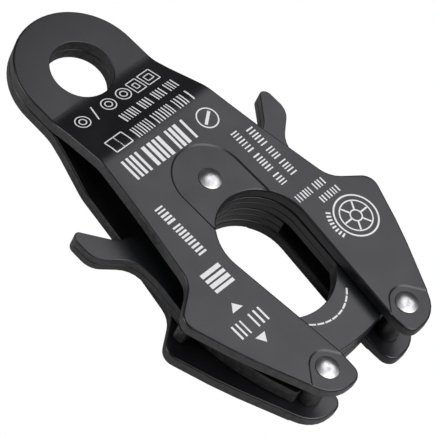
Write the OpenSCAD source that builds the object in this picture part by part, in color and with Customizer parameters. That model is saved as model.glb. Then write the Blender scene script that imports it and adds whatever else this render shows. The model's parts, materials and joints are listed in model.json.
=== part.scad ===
// Double-jaw quick connector.
// Two joggled side plates touch at the eye and spread apart round a pair of hooked jaws.
// Each jaw is two laminated plates, turns on the centre pivot and is opened by its side lever.
// The origin is the centre of the eye, on the plane where the two side plates meet.
// +Z leaves the front plate, +Y runs from the mouth to the eye, +X is the right-hand side.

/* [Side plates] */
// Thickness of each side plate
plate_t = 3.7; // [3:0.1:5]
// Clear space between the plates round the jaws
spread_gap = 11.45; // [9:0.05:14]
// Diameter of the hole through the eye
eye_bore_d = 17.7; // [14:0.1:20]
// Outside radius of the eye
eye_r = 18.9; // [16:0.1:22]
// Where the bend away from the eye starts, below the eye's centre
bend_start = 8.4; // [6:0.1:12]
// Where the plates are parallel again, below the eye's centre
bend_end = 25.3; // [20:0.1:30]
// Depth of the pressed pads round the rivets
pad_depth = 0.3; // [0.2:0.1:1]

/* [Throat and mouth] */
// Radius of the rounded top of the throat
throat_r = 13.6; // [10:0.1:16]
// Distance from the eye's centre to the centre of the throat's round top
throat_drop = 67.4; // [60:0.1:75]
// Half the width between the prongs at the tip rivets
mouth_half = 9.65; // [8:0.05:12]

/* [Jaws] */
// Thickness of one of the two laminated plates of a jaw
lamina_t = 2.55; // [2:0.05:3.5]
// Space between the two jaws
jaw_gap = 0.5; // [0.3:0.05:1]
// Radius of the jaws' lower edge about the pivot
gate_r = 56.6; // [50:0.1:60]
// Radius of the round hub about the pivot
hub_r = 12; // [10:0.5:14]
// Radius of the curved inner edge that holds the load
seat_r = 17.2; // [14:0.1:20]

/* [Pivot and rivets] */
// Distance from the eye's centre to the pivot
pivot_drop = 46.5; // [40:0.1:52]
// Distance from the eye's centre to the tip rivets
tip_drop = 104.6; // [98:0.1:110]
// Distance between the two tip rivets
tip_spacing = 32.54; // [28:0.02:36]
// Radius of the rivet shanks
shank_r = 2.3; // [1.8:0.1:3]
// Radius of the domed rivet heads
head_r = 3.3; // [2.8:0.1:4]
// Height of the domed rivet heads
head_h = 0.95; // [0.5:0.05:1.5]
// Outside radius of the pivot bush
bush_r = 3.4; // [3:0.1:4]
// Outside radius of the tip spacers
spacer_r = 3.2; // [2.8:0.1:3.4]
// Radius of the small rivets that hold a jaw's two plates together
lamina_rivet_r = 1.6; // [1:0.1:2]

/* [Return springs] */
// Wire diameter
wire_d = 0.8; // [0.5:0.1:1]
// Mean radius of the coil
coil_r = 4.6; // [4.2:0.1:5]
// Number of turns
coil_turns = 2; // [1:1:3]

/* [Hidden] */
$fn = 96;
half_gap = spread_gap / 2;
half_t = half_gap + plate_t;
jaw_z0 = jaw_gap / 2;
jaw_z1 = jaw_z0 + 2 * lamina_t;
fit = 0.05;                       // radial clearance of a turning or riveted fit
washer_t = 0.3;
washer_r = 6.8;
window_r = 5.4;                   // spring window in the inner plate of a jaw
slot_w = 1.2;                     // slots that take the ends of the spring
tip_x = tip_spacing / 2;
pivot = [0, -pivot_drop];
bend = atan(half_gap / (bend_end - bend_start));
bend_shift = plate_t * tan(bend / 2);
black = [0.1, 0.1, 0.11];
bright = [0.8, 0.8, 0.78];
nylon = [0.2, 0.2, 0.2];

// ---- outline helpers -------------------------------------------------------

function unit(v) = v / norm(v);

// Arc that replaces corner p, between neighbours a and b, with radius r
function corner(a, p, b, r) =
    r == 0 ? [p] :
    let (u = unit(a - p), w = unit(b - p), half = acos(u * w) / 2,
         c = p + unit(u + w) * r / sin(half), s = p + u * r / tan(half),
         e = p + w * r / tan(half),
         a0 = atan2(s[1] - c[1], s[0] - c[0]), a1 = atan2(e[1] - c[1], e[0] - c[0]),
         d = a1 - a0 > 180 ? a1 - a0 - 360 : a1 - a0 < -180 ? a1 - a0 + 360 : a1 - a0,
         n = max(1, ceil(abs(d) / 12)))
    [for (i = [0:n]) c + r * [cos(a0 + d * i / n), sin(a0 + d * i / n)]];

// Closed outline from corners given as [x, y, radius]
function rounded(v) =
    let (n = len(v), xy = [for (q = v) [q[0], q[1]]])
    [for (i = [0:n - 1]) each corner(xy[(i + n - 1) % n], xy[i], xy[(i + 1) % n], v[i][2])];

function mirrored(v) = [for (i = [len(v) - 1:-1:0]) [-v[i][0], v[i][1], v[i][2]]];

// ---- side plates -----------------------------------------------------------

throat_side = [throat_r * cos(6.5), -throat_drop - throat_r * sin(6.5)];

// Right-hand half of the plate, from the eye down the outside, round the prong and up the mouth
plate_half = concat(
    [for (a = [85:-5:0]) [eye_r * cos(a), eye_r * sin(a), 0]],               // eye
    [[19.05, -12, 30], [21.4, -28.3, 60], [23.4, -40.8, 90],                 // shank
     [28.15, -65.3, 8], [38.7, -72.2, 4.2],                                  // waist and shoulder
     [32.2, -89, 80], [20.7, -112, 9.5], [10.1, -112, 3.4],                  // prong and its tip
     [mouth_half, -tip_drop, 20]],                                           // side of the mouth
    [for (i = [0:15]) let (a = -6.5 + i * 96.5 / 16)                         // top of the throat
        [throat_r * cos(a), -throat_drop + throat_r * sin(a), 0]]);

module plate_outline() {
    difference() {
        polygon(rounded(concat([[0, eye_r, 0]], plate_half, [[0, throat_r - throat_drop, 0]],
                               mirrored(plate_half))));
        circle(eye_bore_d / 2);
    }
}

// Side view of a joggled plate: flat at the eye, sloped, then flat round the jaws
module joggle_profile() {
    polygon([[40, 0], [40, plate_t], [-bend_start, plate_t], [-bend_end, half_t], [-130, half_t],
             [-130, half_gap], [-bend_end - bend_shift, half_gap], [-bend_start - bend_shift, 0]]);
}

// Pads pressed into the outer face, open to the throat and to the prongs' edges
module pads_outline() {
    translate(pivot) pad(10.8, 0, 18);
    for (s = [-1, 1]) translate([s * tip_x, -tip_drop]) pad(5.2, 40, 12);
}

// Outline with a round top of radius r that stops at the angle low on each side, and runs on
// straight from there by length
module pad(r, low, length) {
    out = [sin(low), -cos(low)] * length;
    polygon(concat([for (i = [0:24]) let (a = low + i * (180 - 2 * low) / 24) r * [cos(a), sin(a)]],
                   [[-r * cos(low) - out[0], r * sin(low) + out[1]], [0, -length - r],
                    [r * cos(low) + out[0], r * sin(low) + out[1]]]));
}

module side_plate() {
    difference() {
        intersection() {
            rotate([90, 0, 90]) translate([0, 0, -60]) linear_extrude(120) joggle_profile();
            linear_extrude(half_t + 1) plate_outline();
        }
        translate([0, 0, half_t - pad_depth]) linear_extrude(2) pads_outline();
        for (c = [pivot, [tip_x, -tip_drop], [-tip_x, -tip_drop]])
            translate([c[0], c[1], 0]) cylinder(r = shank_r + fit, h = half_t + 1);
    }
}

module front_plate() color(black) side_plate();
module rear_plate() color(black) mirror([0, 0, 1]) side_plate();

// ---- rivets, bush, washers and spacers -------------------------------------

// Rivet through the whole stack, with a shallow dome and a centre dimple on each head
module through_rivet() {
    face = half_t - pad_depth;
    dome_r = (head_r * head_r + head_h * head_h) / (2 * head_h);
    dome = [for (i = [0:8]) let (x = 1 + (head_r - 1) * (8 - i) / 8)
            [x, face + head_h - dome_r + sqrt(dome_r * dome_r - x * x)]];
    half = concat([[shank_r, 0], [shank_r, face]], dome, [[0.8, face + 0.75 * head_h]]);
    rotate_extrude()
        polygon(concat([for (p = half) p], [[0, face + 0.75 * head_h], [0, -face - 0.75 * head_h]],
                       [for (i = [len(half) - 1:-1:1]) [half[i][0], -half[i][1]]]));
}

module pivot_rivet() color(bright) translate(pivot) through_rivet();
module tip_rivets() color(bright)
    for (s = [-1, 1]) translate([s * tip_x, -tip_drop]) through_rivet();

module tube(outer, inner, z0, z1) {
    translate([0, 0, z0]) difference() {
        cylinder(r = outer, h = z1 - z0);
        translate([0, 0, -1]) cylinder(r = inner, h = z1 - z0 + 2);
    }
}

// Bush round the pivot rivet: the jaws turn on it, and two slots hold the springs' inner ends
module pivot_bush() color(bright) translate(pivot) difference() {
    tube(bush_r, shank_r + fit, -half_gap, half_gap);
    for (s = [-1, 1]) rotate(90 - s * 50)
        translate([bush_r - 0.6, -slot_w / 2, s > 0 ? jaw_z0 : -jaw_z0 - lamina_t])
            cube([2, slot_w, lamina_t]);
}

module front_thrust_washer() color(nylon)
    translate(pivot) tube(washer_r, bush_r + fit, half_gap - washer_t, half_gap);
module centre_thrust_washer() color(nylon)
    translate(pivot) tube(washer_r, bush_r + fit, -washer_t / 2, washer_t / 2);
module rear_thrust_washer() color(nylon)
    translate(pivot) tube(washer_r, bush_r + fit, -half_gap, -half_gap + washer_t);

module tip_spacers() color(black)
    for (s = [-1, 1]) translate([s * tip_x, -tip_drop])
        tube(spacer_r, shank_r + fit, -half_gap, half_gap);

// ---- jaws ------------------------------------------------------------------

lamina_rivets = [[19, -53], [21.5, -77], [18, -93]];

// Notch that clears the tip spacer; its outer side rests on the spacer when the jaw is shut
notch = [tip_x - 0.95, -tip_drop + 0.5];
notch_r = 4.6;
notch_edge = 11.6;                // where the notch meets the lower edge, as an angle at the pivot

function on_gate(a) = pivot + gate_r * [sin(a), -cos(a)];

// Right-hand jaw from the hub, out round the lever, down the spine and round the hook
jaw_edge = concat(
    [for (a = [165:-5:15]) [hub_r * cos(a), -pivot_drop + hub_r * sin(a), 0]],  // hub
    [[16, -44.6, 3], [20.5, -44.7, 8], [27.9, -42.8, 8], [35.2, -33.9, 1.3],    // top of the lever
     [37.2, -35.3, 2.2], [37.3, -42.9, 6], [28.6, -49.6, 8], [28, -57, 30],     // lever, root
     [29.9, -69.7, 0], [33.6, -69.9, 1.4], [33.6, -73.3, 1.4], [29.4, -73.6, 0.6],  // stop nib
     [29, -80, 60], [26.7, -91.5, 50], [21.9, -103.2, 0.9],                     // spine and heel
     [notch[0] + notch_r * cos(11), notch[1] + notch_r * sin(11), 0.3]],
    [for (a = [25:12:133]) [notch[0] + notch_r * cos(a), notch[1] + notch_r * sin(a), 0]],
    [[on_gate(notch_edge)[0], on_gate(notch_edge)[1], 1]],
    [for (a = [8:-3:-16]) [on_gate(a)[0], on_gate(a)[1], 0]],                   // lower edge
    [[on_gate(-20)[0], on_gate(-20)[1], 2.5], [-14.2, -88.3, 1.4],              // tip of the hook
     [-9, -85, 0], [0, -80, 0], [-6, -60, 0], [-13.6, -65.9, 1.2],              // cut away inside
     [-19.8, -64, 4], [-19.8, -54, 9], [-13.5, -47, 6]]);                       // trigger lobe

// Everything the jaw encloses: the throat, the side of the mouth and the curved seat
module jaw_inside() {
    translate([0, -throat_drop]) circle(throat_r);
    intersection() {
        translate([-1.7, -73.4]) circle(seat_r);
        polygon([[-40, -66.2], throat_side + [0, 2.8], throat_side, [mouth_half, -tip_drop],
                 [-40, -tip_drop]]);
    }
}

module jaw_outline() {
    difference() {
        polygon(rounded(jaw_edge));
        jaw_inside();
        for (p = lamina_rivets) translate(p) circle(lamina_rivet_r + 0.02);
    }
}

// Outer plate of a jaw, which turns on the bush
module jaw_outer(z) {
    translate([0, 0, z]) linear_extrude(lamina_t) difference() {
        jaw_outline();
        translate(pivot) circle(bush_r + fit);
    }
}

// Inner plate of a jaw, with the window and slot that hold its spring
module jaw_inner(z) {
    translate([0, 0, z]) linear_extrude(lamina_t) difference() {
        jaw_outline();
        translate(pivot) circle(window_r);
        translate(pivot) rotate(spring_out) translate([0, -slot_w / 2]) square([8.6, slot_w]);
    }
}

module jaw_rivets(z) {
    for (p = lamina_rivets) translate([p[0], p[1], z]) cylinder(r = lamina_rivet_r, h = 2 * lamina_t);
}

module right_jaw_outer_plate() color(black) jaw_outer(jaw_z0 + lamina_t);
module right_jaw_inner_plate() color(black) jaw_inner(jaw_z0);
module right_jaw_rivets() color(bright) jaw_rivets(jaw_z0);
module left_jaw_outer_plate() color(black) mirror([1, 0, 0]) jaw_outer(-jaw_z1);
module left_jaw_inner_plate() color(black) mirror([1, 0, 0]) jaw_inner(-jaw_z0 - lamina_t);
module left_jaw_rivets() color(bright) mirror([1, 0, 0]) jaw_rivets(-jaw_z1);

// ---- return springs --------------------------------------------------------

spring_in = 40;                   // direction of the end that sits in the bush
spring_out = 40;                  // direction of the end that sits in the jaw
pitch = (lamina_t - wire_d - 0.1) / coil_turns;

// Centre line: in the bush slot, out to the coil, round it, then out into the jaw's slot
spring_path = concat(
    [[cos(spring_in), sin(spring_in), 0] * (bush_r - 0.4)],
    [for (i = [0:coil_turns * 24]) let (a = spring_in + 15 * i)
        [coil_r * cos(a), coil_r * sin(a), pitch * i / 24]],
    [[8.1 * cos(spring_out), 8.1 * sin(spring_out), pitch * coil_turns]]);

// Round wire along a path that climbs slowly in Z
module wire(path, d, sides = 8) {
    n = len(path);
    rings = [for (i = [0:n - 1])
        let (t = path[min(i + 1, n - 1)] - path[max(i - 1, 0)],
             side = unit([-t[1], t[0], 0]))
        for (k = [0:sides - 1])
            path[i] + d / 2 * (cos(360 * k / sides) * side + [0, 0, sin(360 * k / sides)])];
    faces = concat(
        [[for (k = [0:sides - 1]) k]],
        [for (i = [0:n - 2]) for (k = [0:sides - 1]) let (m = (k + 1) % sides)
            each [[i * sides + k, (i + 1) * sides + k, i * sides + m],
                  [i * sides + m, (i + 1) * sides + k, (i + 1) * sides + m]]],
        [[for (k = [sides - 1:-1:0]) (n - 1) * sides + k]]);
    polyhedron(rings, faces);
}

module right_spring() color(bright)
    translate([0, -pivot_drop, jaw_z0 + 0.05 + wire_d / 2]) wire(spring_path, wire_d);
module left_spring() color(bright)
    mirror([1, 0, 0]) mirror([0, 0, 1])
        translate([0, -pivot_drop, jaw_z0 + 0.05 + wire_d / 2]) wire(spring_path, wire_d);

front_plate();
rear_plate();
pivot_rivet();
pivot_bush();
front_thrust_washer();
centre_thrust_washer();
rear_thrust_washer();
tip_rivets();
tip_spacers();
right_jaw_outer_plate();
right_jaw_inner_plate();
right_jaw_rivets();
right_spring();
left_jaw_inner_plate();
left_jaw_outer_plate();
left_jaw_rivets();
left_spring();
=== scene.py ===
"""Double-jaw quick connector.

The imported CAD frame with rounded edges, turned rivets, materials and laser marks, on a plain
floor in soft studio light."""

import json
import math
import random

import bmesh
import bpy
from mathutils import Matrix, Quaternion, Vector


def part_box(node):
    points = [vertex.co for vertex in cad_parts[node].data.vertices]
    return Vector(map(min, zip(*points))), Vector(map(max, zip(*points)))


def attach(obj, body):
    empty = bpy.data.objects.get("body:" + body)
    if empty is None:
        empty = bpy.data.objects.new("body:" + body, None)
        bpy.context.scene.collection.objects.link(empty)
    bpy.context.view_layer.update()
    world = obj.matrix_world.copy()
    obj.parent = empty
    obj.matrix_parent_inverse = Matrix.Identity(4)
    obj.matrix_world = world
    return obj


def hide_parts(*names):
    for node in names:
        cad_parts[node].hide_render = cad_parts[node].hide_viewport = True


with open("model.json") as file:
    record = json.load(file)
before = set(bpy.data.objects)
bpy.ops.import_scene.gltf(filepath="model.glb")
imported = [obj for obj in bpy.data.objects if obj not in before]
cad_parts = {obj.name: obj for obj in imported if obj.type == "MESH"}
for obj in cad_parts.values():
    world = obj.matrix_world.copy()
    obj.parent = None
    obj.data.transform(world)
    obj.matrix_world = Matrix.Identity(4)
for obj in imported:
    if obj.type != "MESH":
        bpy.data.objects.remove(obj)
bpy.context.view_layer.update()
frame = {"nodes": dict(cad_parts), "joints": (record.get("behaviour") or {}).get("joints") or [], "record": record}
random.seed(7)

MM = 0.001

# ---- places taken from the frame -------------------------------------------

PIVOT = Vector(frame["joints"][0]["pos_m"])
EYE = frame["record"]["mounts"][0]["dims"]                 # the eye's bore
FACE_Z = frame["record"]["mounts"][2]["pos_m"][2]          # outer face of the front plate
JAW_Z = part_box("right_jaw_outer_plate")[1].z               # outer face of the right jaw
EYE_R = EYE["r_mm"] * MM
EYE_Z = EYE["length_mm"] * MM / 2                          # outer face of the plate at the eye
THROAT_HALF = 14.0 * MM                                    # a little more than half the throat

# ---- sizes that match the CAD source ---------------------------------------

BEND_TOP, BEND_LOW = -8.4 * MM, -25.3 * MM                 # where the plate's face bends
BEND_RISE = (FACE_Z - EYE_Z) / (BEND_TOP - BEND_LOW)       # slope of the plate between its bends
PAD_DEPTH = 0.3 * MM                                       # depth of the pads round the rivets
SHANK_R = 2.3 * MM                                         # radius of a rivet between its heads

# ---- sizes of the finished edges -------------------------------------------

PLATE_RIM = 0.6 * MM                                       # rounding of each rim
JAW_RIM = 0.28 * MM
SPACER_RIM = 0.2 * MM
BORE_RIM = 0.3 * MM                                        # the same round the eye's bore
PAD_RIM = 0.1 * MM                                         # the same along a pad's crest and foot
PAD_SLOPE = 0.5 * MM                                       # width of a pad's sloping side
BEND_WIDTH = 2.0 * MM                                      # half the length of a rounded bend
BEND_CUTS = (-1.0, -0.65, -0.3, 0.0, 0.35, 0.7, 1.0)       # cuts across a bend, in BEND_WIDTHs

MERGE = 0.002 * MM                                         # vertices closer than this are one
LEVEL = 1e-6                                               # heights closer than this, in m, are one
UPRIGHT = 0.3                                              # a wall's normal has less than this in Z
FLAT = 0.9                                                 # and a face's normal has more
RIM_ANGLE = 50                                             # degrees between the faces at a rim


# ---- small helpers ---------------------------------------------------------

def new_object(name, bm, smooth_angle=40):
    """A mesh object from bm, smooth where its faces meet at less than smooth_angle degrees."""
    mesh = bpy.data.meshes.new(name)
    bm.to_mesh(mesh)
    bm.free()
    mesh.shade_smooth()
    mesh.set_sharp_from_angle(angle=math.radians(smooth_angle))
    piece = bpy.data.objects.new(name, mesh)
    bpy.context.scene.collection.objects.link(piece)
    return piece


def dress(piece, body, material):
    """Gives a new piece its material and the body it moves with."""
    piece.data.materials.clear()
    piece.data.materials.append(material)
    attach(piece, body)


# ---- materials -------------------------------------------------------------

class Nodes:
    """A material with a Principled shader, and short calls to add and join nodes."""

    def __init__(self, name):
        self.material = bpy.data.materials.new(name)
        self.material.use_nodes = True
        self.tree = self.material.node_tree
        self.shader = self.tree.nodes["Principled BSDF"]
        self.coords = self.add("ShaderNodeTexCoord").outputs["Object"]

    def add(self, kind, **settings):
        node = self.tree.nodes.new(kind)
        for key, value in settings.items():
            setattr(node, key, value)
        return node

    def join(self, output, socket):
        self.tree.links.new(output, socket)

    def noise(self, scale, detail=3.0):
        """A noise about 1 / scale metres across."""
        node = self.add("ShaderNodeTexNoise")
        self.join(self.coords, node.inputs["Vector"])
        node.inputs["Scale"].default_value = scale
        node.inputs["Detail"].default_value = detail
        node.inputs["Roughness"].default_value = 0.55
        return node.outputs["Fac"]

    def ranged(self, value, low, high, out_low, out_high):
        """The value with low to high stretched to out_low to out_high, and held there beyond."""
        node = self.add("ShaderNodeMapRange")
        self.join(value, node.inputs["Value"])
        for key, number in (("From Min", low), ("From Max", high),
                            ("To Min", out_low), ("To Max", out_high)):
            node.inputs[key].default_value = number
        return node.outputs["Result"]

    def math(self, operation, a, b):
        node = self.add("ShaderNodeMath", operation=operation)
        self.join(a, node.inputs[0])
        self.join(b, node.inputs[1])
        return node.outputs["Value"]

    def blend(self, fac, color_a, color_b):
        """The mix of color_a and color_b, each a tuple or a node's output."""
        node = self.add("ShaderNodeMix", data_type="RGBA")
        self.join(fac, node.inputs[0])
        for socket, color in ((node.inputs[6], color_a), (node.inputs[7], color_b)):
            if isinstance(color, tuple):
                socket.default_value = (*color, 1)
            else:
                self.join(color, socket)
        return node.outputs[2]

    def bump(self, height, distance, strength):
        node = self.add("ShaderNodeBump")
        self.join(height, node.inputs["Height"])
        node.inputs["Distance"].default_value = distance
        node.inputs["Strength"].default_value = strength
        self.join(node.outputs["Normal"], self.shader.inputs["Normal"])

    def attribute(self, name):
        return self.add("ShaderNodeAttribute", attribute_name=name).outputs["Fac"]

    def set(self, **values):
        """Sets the shader's own inputs, with _ for each space in a name."""
        for key, value in values.items():
            self.shader.inputs[key.replace("_", " ")].default_value = value


def anodised(name, dark, light, rough, cut):
    """Satin black anodising from dark to light, with worn cut edges of the colour cut.

    That lighter colour on the cut walls is partly their worn, greyer cut surface and partly painted light that
    brightens them. It has a fine grain, a slightly uneven gloss, and the cut edges are rougher."""
    n = Nodes(name)
    patches = n.noise(90, detail=4)
    grain = n.noise(5200, detail=2)
    face = n.blend(n.ranged(patches, 0.35, 0.65, 0, 1), dark, light)
    # mask of the cut walls with uneven wear; the lighter colour it brings is partly worn surface, partly painted
    # light on the walls
    edge = n.math("MULTIPLY", n.attribute("cut"),
                  n.ranged(n.noise(700, detail=4), 0.4, 0.62, 0.35, 1))
    n.join(n.blend(edge, face, cut), n.shader.inputs["Base Color"])
    gloss = n.ranged(patches, 0.3, 0.7, rough - 0.04, rough + 0.05)
    n.join(n.math("ADD", gloss, n.ranged(edge, 0, 1, 0, 0.1)), n.shader.inputs["Roughness"])
    n.bump(grain, 0.006 * MM, 0.5)
    n.set(Metallic=0.0, IOR=1.6)
    return n.material


def steel(name, color, rough, turned=False):
    """Bare steel. If turned, its shine stretches across the fine rings left by a lathe."""
    n = Nodes(name)
    smear = n.noise(700, detail=4)
    darker = tuple(0.82 * c for c in color)
    n.join(n.blend(n.ranged(smear, 0.3, 0.7, 0, 1), color, darker), n.shader.inputs["Base Color"])
    n.join(n.ranged(smear, 0.3, 0.7, rough - 0.05, rough + 0.09), n.shader.inputs["Roughness"])
    n.bump(n.noise(3000), 0.004 * MM, 0.3 if turned else 0.6)
    n.set(Metallic=1.0)
    if turned:
        tangent = n.add("ShaderNodeTangent", direction_type="UV_MAP", uv_map="turning")
        n.join(tangent.outputs["Tangent"], n.shader.inputs["Tangent"])
        n.set(Anisotropic=0.75)
    return n.material


def plastic(name, dark, light, rough):
    """Moulded plastic with a soft grain."""
    n = Nodes(name)
    n.join(n.blend(n.noise(600), dark, light), n.shader.inputs["Base Color"])
    n.bump(n.noise(4000), 0.01 * MM, 0.4)
    n.set(Roughness=rough)
    return n.material


def laser_mark(name):
    """Pale laser marking: slightly speckled where the anodising is burnt off."""
    n = Nodes(name)
    speckle = n.ranged(n.noise(2600), 0.4, 0.6, 0, 1)
    color = n.blend(speckle, (0.84, 0.84, 0.85), (0.93, 0.93, 0.94))
    n.join(color, n.shader.inputs["Base Color"])
    n.bump(n.noise(5200), 0.01 * MM, 0.5)
    n.set(Roughness=0.6)
    return n.material


# the last colour of each is that of the cut walls: partly worn cut surface, partly painted light that brightens
# them
PLATE_BLACK = anodised("plate_black", (0.007, 0.007, 0.009), (0.010, 0.010, 0.012), 0.33,
                       (0.06, 0.06, 0.062))
JAW_BLACK = anodised("jaw_black", (0.006, 0.007, 0.009), (0.009, 0.010, 0.012), 0.31,
                     (0.05, 0.05, 0.052))
RIVET_STEEL = steel("rivet_steel", (0.66, 0.66, 0.65), 0.31, turned=True)
INNER_STEEL = steel("inner_steel", (0.55, 0.55, 0.53), 0.32)
WIRE_STEEL = steel("wire_steel", (0.62, 0.60, 0.57), 0.3)
NYLON = plastic("nylon", (0.016, 0.016, 0.017), (0.03, 0.03, 0.03), 0.5)
MARK = laser_mark("laser_mark")


# ---- plates and jaws: the CAD shapes with rounded edges and bends ----------

def risen(d, rounding):
    """How far a line of slope 1 has risen at d past its bend, rounded that far each way."""
    if abs(d) < rounding:
        return (d + rounding) ** 2 / (4 * rounding)
    return max(d, 0)


def plate_z(y, base=EYE_Z, shift=0, rounding=BEND_WIDTH):
    """Height at y of the face of the front plate that lies at base at the eye.

    Its bends are that shift nearer to the jaws than the outer face's."""
    return base + BEND_RISE * (risen(BEND_TOP - shift - y, rounding)
                               - risen(BEND_LOW - shift - y, rounding))


def soften_bends(bm, side):
    """Cuts the plate across near its bends, and moves the cuts to a rounded shape.

    side is 1 for the front plate and -1 for the rear one."""
    sharp = 1e-9
    inner_shift = EYE_Z * math.tan(math.atan(BEND_RISE) / 2)
    for bend in (BEND_TOP, BEND_LOW):
        for cut in BEND_CUTS:
            everything = bm.verts[:] + bm.edges[:] + bm.faces[:]
            bmesh.ops.bisect_plane(bm, geom=everything, dist=MERGE, plane_no=(0, 1, 0),
                                   plane_co=(0, bend - inner_shift / 2 + cut * BEND_WIDTH, 0))
    for v in bm.verts:
        y = v.co.y
        low, high = plate_z(y, 0, inner_shift, sharp), plate_z(y, rounding=sharp)
        through = (side * v.co.z - low) / (high - low)
        new_low, new_high = plate_z(y, 0, inner_shift), plate_z(y)
        v.co.z = side * (new_low + through * (new_high - new_low))


def rims(bm):
    """The edges whose faces meet sharply."""
    return [e for e in bm.edges
            if e.is_manifold and math.degrees(e.calc_face_angle()) > RIM_ANGLE]


def in_bore(edge):
    """True on the rims of the eye's bore."""
    return all(v.co.xy.length < EYE_R + BORE_RIM for v in edge.verts)


def upright(face):
    return abs(face.normal.z) < UPRIGHT


def level(edge):
    return abs(edge.verts[0].co.z - edge.verts[1].co.z) < LEVEL


def pad_walls(bm):
    """The low upright walls round the pressed pads."""
    walls = []
    for face in bm.faces:
        heights = [v.co.z for v in face.verts]
        if upright(face) and max(heights) - min(heights) < 1.5 * PAD_DEPTH:
            walls.append(face)
    return walls


def move_diagonal(bm, v, outline_edge):
    """Takes a flat face's diagonal off v, to a new vertex further along the outline edge.

    Left at v, it would put a kink in the rounding there."""
    flat = [e for e in v.link_edges if all(abs(f.normal.z) > FLAT for f in e.link_faces)]
    for diagonal in flat:
        far = diagonal.other_vert(v)
        new = bmesh.utils.edge_split(outline_edge, v, 0.7)[1]
        for face in diagonal.link_faces:
            if new in face.verts:
                bmesh.utils.face_split(face, new, far)
                bmesh.ops.dissolve_edges(bm, edges=[diagonal], use_verts=False)
                return


def slope_pads(bm):
    """Leans the pads' walls back by sliding their feet inward, and returns the edges along them.

    A foot on the plate's outline slides along it, as far as the others go inward."""
    walls = pad_walls(bm)
    crest_z = max(abs(v.co.z) for face in walls for v in face.verts)
    feet = {}                                              # each with the normals of its walls
    for face in walls:
        for v in face.verts:
            if abs(v.co.z) < crest_z - 0.5 * PAD_DEPTH:
                feet.setdefault(v, []).append(face.normal.copy())
    moves = {}
    for v, normals in feet.items():
        inward = sum(normals, Vector()).normalized()
        outline = [e for e in v.link_edges
                   if e.other_vert(v) not in feet and level(e)
                   and any(upright(face) for face in e.link_faces)]
        if len(normals) == 1 and outline:
            along = (outline[0].other_vert(v).co - v.co).normalized()
            moves[v] = along * PAD_SLOPE / max(along.dot(inward), 0.4)
            move_diagonal(bm, v, outline[0])
        else:
            moves[v] = inward * PAD_SLOPE
    for v, move in moves.items():
        v.co += move
    bm.normal_update()
    return list({e for face in walls for e in face.edges
                 if level(e) and sum(link in walls for link in e.link_faces) == 1})


def round_edges(bm, edges, width, segments):
    """Rounds the edges over that width on each side."""
    bmesh.ops.bevel(bm, geom=edges, offset=width, segments=segments, profile=0.5,
                    affect="EDGES", clamp_overlap=False)


def mark_worn_and_lit_walls(bm):
    """Marks the upright faces for the lighter cut-wall colour, which is partly worn cut surface and partly painted
    light, apart from those in the throat, which stay dark as painted shade.
    """
    cut = bm.faces.layers.float.new("cut")
    for face in bm.faces:
        middle = face.calc_center_median()
        in_throat = abs(middle.x) < THROAT_HALF and middle.y < PIVOT.y
        # walls outside the throat take the lighter colour (worn surface plus painted light); throat walls keep the
        # dark face colour as painted shade
        face[cut] = float(upright(face) and not in_throat)


def finish_node(node, body, material, rim_width, side=0):
    """Puts a piece with rounded rims in a CAD node's place.

    side is 1 for the front plate, -1 for the rear one and 0 for the rest. The plates get sloping
    pads and softened bends too."""
    bm = bmesh.new()
    bm.from_mesh(frame["nodes"][node].data)
    bmesh.ops.remove_doubles(bm, verts=bm.verts, dist=MERGE)
    bmesh.ops.dissolve_limit(bm, angle_limit=math.radians(0.4), verts=bm.verts, edges=bm.edges)
    if side:
        round_edges(bm, slope_pads(bm), PAD_RIM, 2)
        round_edges(bm, [e for e in rims(bm) if in_bore(e)], BORE_RIM, 3)
    round_edges(bm, [e for e in rims(bm) if not in_bore(e)], rim_width, 3)
    bm.normal_update()
    mark_worn_and_lit_walls(bm)
    if side:
        bmesh.ops.triangulate(bm, faces=[face for face in bm.faces if len(face.verts) > 4])
        soften_bends(bm, side)
    piece = new_object(node + "_finished", bm)
    piece.modifiers.new("even_faces", "WEIGHTED_NORMAL").keep_sharp = True
    dress(piece, body, material)
    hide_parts(node)


for name, side in (("front_plate", 1), ("rear_plate", -1)):
    finish_node(name, "frame", PLATE_BLACK, PLATE_RIM, side)
for hand in ("right", "left"):
    for layer in ("outer", "inner"):
        finish_node(f"{hand}_jaw_{layer}_plate", f"{hand}_jaw", JAW_BLACK, JAW_RIM)
finish_node("tip_spacers", "frame", PLATE_BLACK, SPACER_RIM)


# ---- rivets: lathed, with domed heads --------------------------------------

LATHE_STEPS = 72                                           # faces round a rivet
DOME_STEPS = 22                                            # rings from a dome's rim to its centre
BRIM = 0.18 * MM                                           # height of a head's brim
DIMPLE_R, DIMPLE_DEPTH = 0.34 * MM, 0.05 * MM


def lathe(bm, profile, centre):
    """Turns profile, a list of (radius, z), about the Z line through centre, with a UV map."""
    uv = bm.loops.layers.uv["turning"]
    rings = []
    for radius, z in profile:
        angles = [math.tau * i / LATHE_STEPS for i in range(LATHE_STEPS if radius > 0 else 1)]
        rings.append([bm.verts.new((centre.x + radius * math.cos(a),
                                    centre.y + radius * math.sin(a), z)) for a in angles])
    for row, (low, high) in enumerate(zip(rings, rings[1:])):
        for i in range(LATHE_STEPS):
            corners = {low[i % len(low)]: (i, row),
                       low[(i + 1) % len(low)]: (i + 1, row),
                       high[(i + 1) % len(high)]: (i + 1, row + 1),
                       high[i % len(high)]: (i, row + 1)}
            face = bm.faces.new(list(corners))
            for loop in face.loops:
                across, up = corners[loop.vert]
                loop[uv].uv = (across / LATHE_STEPS, up / len(rings))


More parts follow.
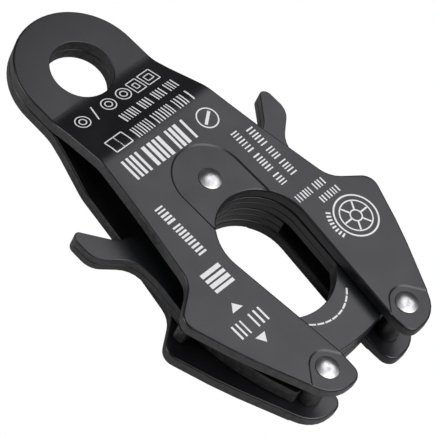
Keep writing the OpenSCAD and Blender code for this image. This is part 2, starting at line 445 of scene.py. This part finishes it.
def rivet_profile(top, head_r):
    """The front half of a rivet: shank, flat underside, rounded brim, dome and centre dimple."""
    seat = FACE_Z - PAD_DEPTH
    height = top - seat - BRIM
    dome_r = (head_r ** 2 + height ** 2) / (2 * height)
    points = [(SHANK_R, seat), (head_r - 0.1 * MM, seat), (head_r, seat + BRIM * 0.5),
              (head_r - 0.02 * MM, seat + BRIM)]
    for i in range(1, DOME_STEPS):
        r = head_r * (1 - i / DOME_STEPS)
        points.append((r, top - dome_r + math.sqrt(dome_r ** 2 - r ** 2)))
    dimple_z = points.pop()[1] - DIMPLE_DEPTH              # the dimple takes the last ring's place
    return points + [(DIMPLE_R, dimple_z), (0, dimple_z)]


def turn_rivets(node, centres):
    """Puts turned rivets in a CAD node's place."""
    low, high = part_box(node)
    bm = bmesh.new()
    bm.loops.layers.uv.new("turning")
    half = rivet_profile(high.z, (high.y - low.y) / 2)
    for centre in centres:
        lathe(bm, [(r, -z) for r, z in reversed(half)] + half, centre)
    bmesh.ops.recalc_face_normals(bm, faces=bm.faces)
    piece = new_object(node + "_turned", bm, 35)
    dress(piece, "frame", RIVET_STEEL)
    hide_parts(node)


tip_low, tip_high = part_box("tip_rivets")
tip_y = (tip_low.y + tip_high.y) / 2
tip_x = tip_high.x - (tip_high.y - tip_low.y) / 2
turn_rivets("pivot_rivet", [PIVOT])
turn_rivets("tip_rivets", [Vector((tip_x, tip_y, 0)), Vector((-tip_x, tip_y, 0))])


# ---- the CAD nodes that stay as they are -----------------------------------

for name, material in (
        ("pivot_bush", INNER_STEEL),
        ("front_thrust_washer", NYLON),
        ("centre_thrust_washer", NYLON),
        ("rear_thrust_washer", NYLON),
        ("right_jaw_rivets", INNER_STEEL),
        ("left_jaw_rivets", INNER_STEEL),
        ("right_spring", WIRE_STEEL),
        ("left_spring", WIRE_STEEL)):
    materials = frame["nodes"][name].data.materials
    materials.clear()
    materials.append(material)


# ---- laser marks: plain bars, rings and triangles, no lettering ------------
# Everything here is drawn on the plates in mm, as seen from the front.

MARK_LIFT = 0.02 * MM                                      # how far a mark stands off its face
BAR_STEP = 0.7                                             # longest piece of a bar


def jaw_face(_y):
    return JAW_Z


def mark_face(bm, points, height_at=plate_z):
    """One flat face of a mark, on the plate or on the face whose height at y height_at gives."""
    face = bm.faces.new([bm.verts.new((x * MM, y * MM, height_at(y * MM) + MARK_LIFT))
                         for x, y in points])
    face.normal_update()
    if face.normal.z < 0:
        face.normal_flip()


def bar(bm, start, end, thick):
    """A straight stroke from start to end, in short lengths that follow the bends."""
    a, b = Vector(start), Vector(end)
    side = (b - a).orthogonal().normalized() * thick / 2
    count = max(1, math.ceil((b - a).length / BAR_STEP))
    for i in range(count):
        p, q = a.lerp(b, i / count), a.lerp(b, (i + 1) / count)
        mark_face(bm, [p - side, q - side, q + side, p + side])


def ticks(bm, start, end, height, stroke, gap, group=(4, 7)):
    """A row of plain ticks across the line from start to end, in place of a line of writing.

    stroke, gap and group are the least and most of a tick's width, the space after it and how
    many stand in a group."""
    a, b = Vector(start), Vector(end)
    along = (b - a).normalized()
    up = along.orthogonal() * height / 2
    at, left = 0.0, random.randint(*group)
    while True:
        width = random.uniform(*stroke)
        if at + width > (b - a).length:
            return
        middle = a + along * (at + width / 2)
        bar(bm, middle - up, middle + up, width)
        left -= 1
        at += width + random.uniform(*gap)
        if left == 0:
            at += 1.2 * gap[1]
            left = random.randint(*group)


def ring_mark(bm, centre, radius, thick, steps=40, start=0.0, turn=360.0, height_at=plate_z):
    """An outlined circle, or the part of one that turns that many degrees from start."""
    c = Vector(centre)

    def at(r, i):
        a = math.radians(start + turn * i / steps)
        return c + Vector((r * math.cos(a), r * math.sin(a)))

    for i in range(steps):
        mark_face(bm, [at(radius, i), at(radius, i + 1), at(radius - thick, i + 1),
                       at(radius - thick, i)], height_at)


def box_mark(bm, x0, y0, x1, y1, thick):
    """An outlined rectangle."""
    corners = ((x0, y0), (x1, y0), (x1, y1), (x0, y1))
    for corner, after in zip(corners, corners[1:] + corners[:1]):
        bar(bm, corner, after, thick)


FINE, FINE_GAP = (0.32, 0.5), (0.45, 0.8)
BOLD, BOLD_GAP = (0.8, 1.3), (0.6, 0.9)
BADGE = Vector((24.8, -78.2))                              # centre of the spoked ring
GATE_ARC = (-0.5, -83.0)                                   # centre of the gate's dashed arc

marks = bmesh.new()
for x in (-13.1, -3.1, 2.7):                               # row of outlined shapes on the slope
    ring_mark(marks, (x, -12.7), 2.2, 0.32)
    ring_mark(marks, (x, -12.7), 1.15, 0.32, steps=28)
bar(marks, (-7.4, -10.3), (-9.3, -14.9), 0.4)
for x0, x1 in ((5.7, 9.2), (10.2, 14.6)):
    box_mark(marks, x0, -15.0, x1, -10.7, 0.32)
    box_mark(marks, x0 + 1.1, -13.8, x1 - 1.1, -11.9, 0.3)
ticks(marks, (-4.8, -18.9), (15.8, -18.9), 3.2, FINE, FINE_GAP)
ticks(marks, (-6.8, -24.6), (15.7, -24.6), 3.7, FINE, FINE_GAP)
for x in (-15.2, -12.1):                                   # box with a line down its middle
    box_mark(marks, x, -26.1, x + 3.1, -21.8, 0.35)
ticks(marks, (-16.8, -32.2), (7.3, -32.2), 6.6, BOLD, BOLD_GAP, (3, 4))
ring_mark(marks, (13.3, -32.8), 3.3, 0.4)                  # ring with a bar across it
bar(marks, (11.4, -34.1), (15.2, -31.5), 0.9)
ticks(marks, (20.4, -41.8), (20.4, -59.3), 2.5, FINE, FINE_GAP)
ticks(marks, (15.8, -40.2), (15.8, -60.3), 2.3, FINE, FINE_GAP)
ticks(marks, (14.8, -65.2), (25.6, -65.2), 2.3, FINE, FINE_GAP)
ticks(marks, (20.3, -69.2), (27.9, -69.2), 2.1, FINE, FINE_GAP)
for radius, thick in ((6.6, 0.5), (4.9, 0.4), (1.9, 0.4)):
    ring_mark(marks, BADGE, radius, thick)
for i in range(6):                                         # its spokes
    a = math.radians(60 * i)
    spoke = Vector((math.cos(a), math.sin(a)))
    bar(marks, BADGE + 1.9 * spoke, BADGE + 4.4 * spoke, 0.5)
for i in range(8):                                         # ticks that curve round its left side
    ring_mark(marks, BADGE, 8.6, 1.4, steps=1, start=138 + 8 * i, turn=4)
ticks(marks, (-18.6, -44.6), (-18.6, -63.4), 2.8, (0.5, 0.75), (0.45, 0.7), (3, 9))
ticks(marks, (-21.0, -65.6), (-21.0, -73.3), 7.0, (1.0, 1.5), (0.5, 0.7), (9, 9))
mark_face(marks, [(-25.4, -78.6), (-21.5, -78.6), (-23.4, -76.2)])
ticks(marks, (-29.0, -83.3), (-17.2, -83.3), 4.4, (0.45, 0.7), (0.9, 1.3), (2, 3))
mark_face(marks, [(-25.9, -87.2), (-24.1, -89.8), (-22.3, -87.2)])
dress(new_object("plate_marks", marks), "frame", MARK)

gate = bmesh.new()
for i in range(9):
    ring_mark(gate, GATE_ARC, 12.35, 0.5, steps=5, start=-41 - 11.3 * i, turn=-9.6,
              height_at=jaw_face)
dress(new_object("gate_marks", gate), "right_jaw", MARK)


# ---- floor, light and camera -----------------------------------------------

def white_to_camera(tree, grey, white, surface):
    """Joins two nodes to surface: white to the camera, and grey in the connector's reflections."""
    choose = tree.nodes.new("ShaderNodeMixShader")
    camera_ray = tree.nodes.new("ShaderNodeLightPath").outputs["Is Camera Ray"]
    tree.links.new(camera_ray, choose.inputs[0])
    tree.links.new(grey.outputs[0], choose.inputs[1])
    tree.links.new(white.outputs[0], choose.inputs[2])
    tree.links.new(choose.outputs[0], surface)


lowest = min(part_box(node)[0].z for node in frame["nodes"])
bpy.ops.mesh.primitive_plane_add(size=6, location=(0, 0, lowest - 0.02 * MM))
floor = bpy.context.object
floor.name = "floor"
paint = Nodes("floor_white")
paint.set(Base_Color=(0.5, 0.5, 0.5, 1), Roughness=0.9)
white_to_camera(paint.tree, paint.shader, paint.add("ShaderNodeEmission"),
                paint.tree.nodes["Material Output"].inputs["Surface"])
floor.data.materials.append(paint.material)

TARGET = Vector((-0.6, -54.1, 0)) * MM                     # the point in the middle of the picture
TO_CAMERA = Vector((-0.576, -0.201, 0.792)).normalized()
CAMERA_DISTANCE = 779.7 * MM
CAMERA_ROLL = math.radians(29.33)

camera_data = bpy.data.cameras.new("camera")
camera_data.lens = 245.2
camera_data.sensor_width = 36
camera = bpy.data.objects.new("camera", camera_data)
bpy.context.scene.collection.objects.link(camera)
camera.location = TARGET + TO_CAMERA * CAMERA_DISTANCE
camera.rotation_mode = "QUATERNION"
camera.rotation_quaternion = (TO_CAMERA.to_track_quat("Z", "Y")
                              @ Quaternion((0, 0, 1), CAMERA_ROLL))
bpy.context.scene.camera = camera


def softbox(name, direction, distance, size, radiance, color=(1, 1, 1)):
    """A square area light in that direction from TARGET, which looks that bright from there."""
    light = bpy.data.lights.new(name, "AREA")
    light.color = color
    light.size = size
    light.energy = radiance * math.pi * size * size
    obj = bpy.data.objects.new(name, light)
    bpy.context.scene.collection.objects.link(obj)
    direction = Vector(direction).normalized()
    obj.location = TARGET + direction * distance
    obj.rotation_mode = "QUATERNION"
    obj.rotation_quaternion = direction.to_track_quat("Z", "Y")


softbox("key", (0.49, 0.04, 0.84), 0.8, 0.55, 1.9, (0.96, 0.935, 1.0))
softbox("left_fill", (-0.65, 0.7, 0.35), 0.9, 0.4, 4.0)
softbox("front_fill", (0.0, -0.52, 0.85), 0.9, 0.7, 3.6)
softbox("low_fill", (0.35, -0.9, 0.35), 0.9, 0.35, 1.2)

world = bpy.data.worlds.new("studio")
world.use_nodes = True
bpy.context.scene.world = world
sky = world.node_tree
dim = sky.nodes["Background"]
dim.inputs["Color"].default_value = (0.5, 0.5, 0.52, 1)
dim.inputs["Strength"].default_value = 0.12
pale = sky.nodes.new("ShaderNodeBackground")
pale.inputs["Color"].default_value = (1, 1, 1, 1)
white_to_camera(sky, dim, pale, sky.nodes["World Output"].inputs["Surface"])
bpy.context.scene.view_settings.view_transform = "Standard"
